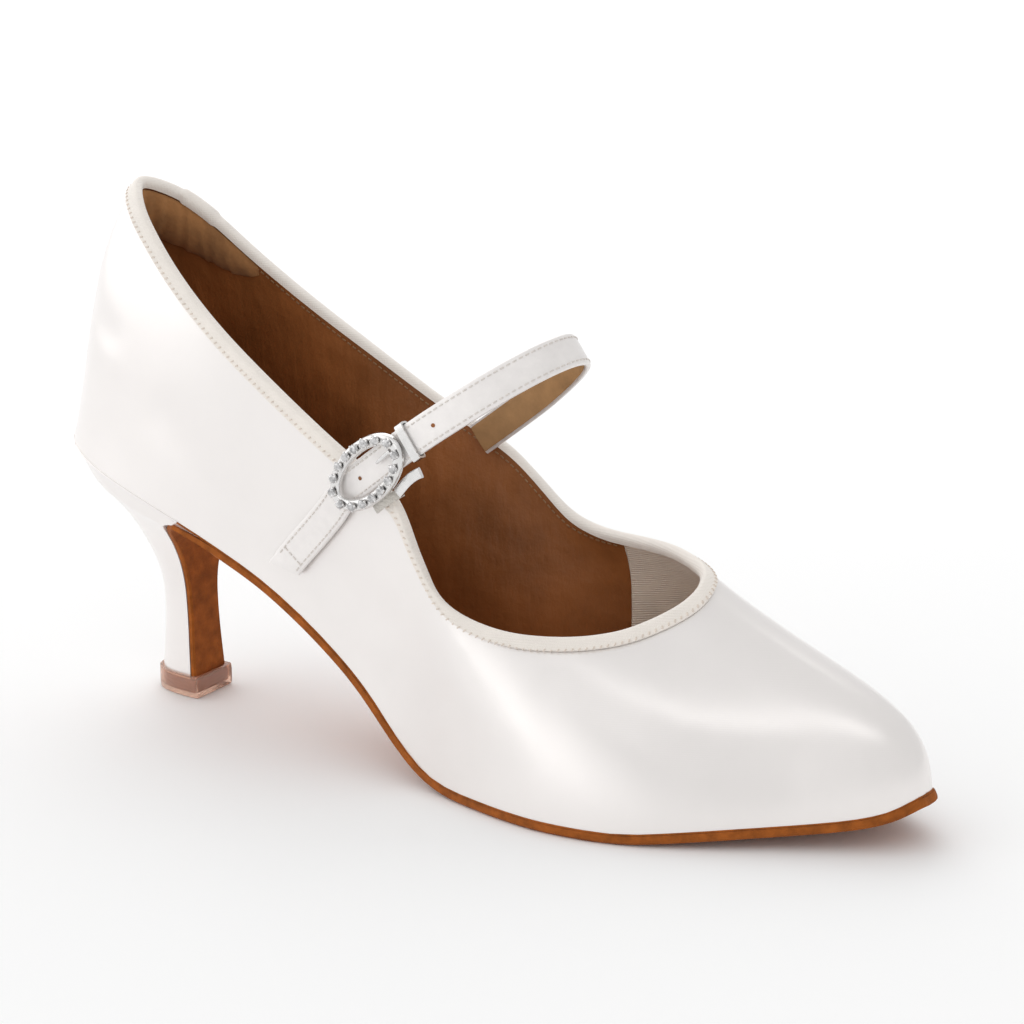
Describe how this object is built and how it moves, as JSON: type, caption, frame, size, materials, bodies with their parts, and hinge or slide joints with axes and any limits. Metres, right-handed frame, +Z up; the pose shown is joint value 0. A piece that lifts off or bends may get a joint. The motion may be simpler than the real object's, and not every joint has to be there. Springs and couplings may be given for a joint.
{
  "type": "ballroom dance shoe",
  "caption": "Closed-toe satin ballroom court shoe with a slim flared heel, suede sole, instep strap and oval jewelled buckle.",
  "frame": {"origin": "middle of the heel tip's flat face on the floor", "axes": "+X from the heel to the toe, +Y to the wearer's inner side, +Z up"},
  "size_m": [0.2395, 0.076, 0.1332],
  "materials": {
    "satin": "off-white satin with a soft sheen",
    "ribbon": "matt cream grosgrain ribbon",
    "grip_suede": "napped tan suede",
    "sock_leather": "brown soft leather",
    "sole_suede": "rust brown chrome suede, napped",
    "lift": "brown heel lift",
    "clear_plastic": "translucent soft plastic",
    "metal": "bright silver plating",
    "stone": "cut clear rhinestone",
    "elastic": "white woven elastic"
  },
  "bodies": {
    "root": {"upper": "satin", "topline_binding": "ribbon", "heel_grip": "grip_suede", "insole": "sock_leather", "outsole": "sole_suede", "heel": "satin", "top_piece": "lift", "heel_protector": "clear_plastic", "instep_strap": "satin", "buckle_frame": "metal", "stone_01": "stone", "stone_02": "stone", "stone_03": "stone", "stone_04": "stone", "stone_05": "stone", "stone_06": "stone", "stone_07": "stone", "stone_08": "stone", "stone_09": "stone", "stone_10": "stone", "stone_11": "stone", "stone_12": "stone", "stone_13": "stone", "stone_14": "stone", "stone_15": "stone", "stone_16": "stone", "buckle_prong": "metal", "buckle_keeper": "metal", "buckle_hook": "metal", "elastic_tab": "elastic"}
  },
  "joints": []
}
